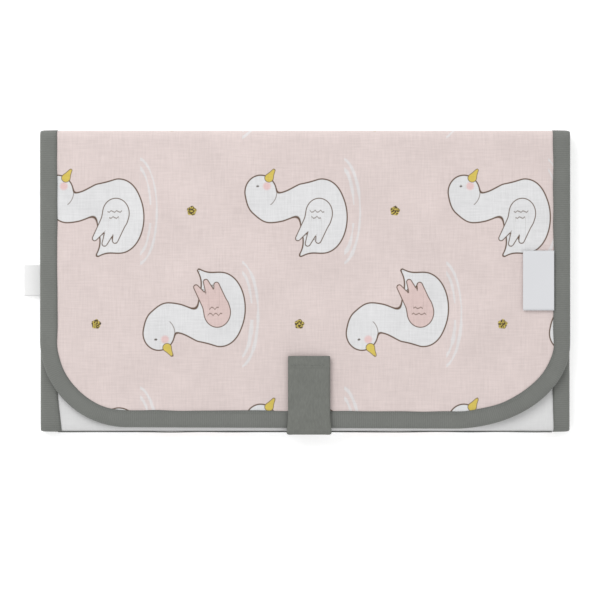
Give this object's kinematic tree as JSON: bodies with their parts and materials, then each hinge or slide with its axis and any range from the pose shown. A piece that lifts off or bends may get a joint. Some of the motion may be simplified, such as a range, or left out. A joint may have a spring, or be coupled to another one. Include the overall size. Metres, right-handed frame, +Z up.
{
  "type": "changing pad",
  "caption": "Folding padded changing pad, closed, with a taped flap, a closing strap, a side label and a care label.",
  "frame": {"origin": "centre of the back panel's outer face, which the closed pad lies on", "axes": "+X along the folds, +Y towards the top fold, +Z up out of the printed flap"},
  "size_m": [0.3615, 0.2005, 0.0217],
  "materials": {
    "printed_cover": "matte plain weave, pale pink with a white bird print",
    "back_cover": "matte plain weave, pale pink",
    "white_cover": "matte white plain weave",
    "liner": "smooth wipeable white cloth",
    "foam": "thin soft foam sheet",
    "binding_tape": "ribbed grey tape",
    "seam_tape": "dark grey tape",
    "strap": "smooth flat grey webbing",
    "hook_and_loop": "short grey pile",
    "label": "satin white label",
    "care_label": "thin white label"
  },
  "bodies": {
    "base": {"back_cover": "back_cover", "back_foam": "foam", "back_liner": "liner", "back_tape_left": "binding_tape", "back_tape_right": "binding_tape", "front_cover": "white_cover", "front_foam": "foam", "front_liner": "liner", "front_tape_left": "binding_tape", "front_tape_right": "binding_tape", "front_tape_top": "binding_tape", "bottom_spine": "white_cover", "bottom_seam_tape": "seam_tape", "strap_root": "strap"},
    "top_fold": {"top_spine": "printed_cover"},
    "flap": {"flap_liner": "liner", "flap_foam": "foam", "flap_cover": "printed_cover", "flap_tape": "binding_tape", "loop_patch": "hook_and_loop"},
    "strap": {"closing_strap": "strap", "hook_patch": "hook_and_loop"},
    "side_label": {"side_label": "label"},
    "care_label": {"care_label": "care_label"}
  },
  "joints": [
    {"name": "top_fold", "type": "hinge", "parent": "base", "child": "top_fold", "pos_m": [0, 0.0985, 0.003], "axis": [-1, 0, 0], "range_deg": [0, 90]},
    {"name": "flap_fold", "type": "hinge", "parent": "top_fold", "child": "flap", "pos_m": [0, 0.0985, 0.0156], "axis": [-1, 0, 0], "range_deg": [0, 90]},
    {"name": "strap_peel", "type": "hinge", "parent": "base", "child": "strap", "pos_m": [0.0026, -0.1014, 0.0205], "axis": [1, 0, 0], "range_deg": [0, 180], "deforming": ["closing_strap", "hook_patch"]},
    {"name": "side_label_lift", "type": "hinge", "parent": "flap", "child": "side_label", "pos_m": [0.1641, 0, 0.0199], "axis": [0, 1, 0], "range_deg": [0, 120]},
    {"name": "care_label_lift", "type": "hinge", "parent": "base", "child": "care_label", "pos_m": [-0.1753, 0, 0.003], "axis": [0, 1, 0], "range_deg": [0, 90]}
  ],
  "couplings": [
    {"joint": "flap_fold", "follows": "top_fold", "ratio": 1}
  ]
}
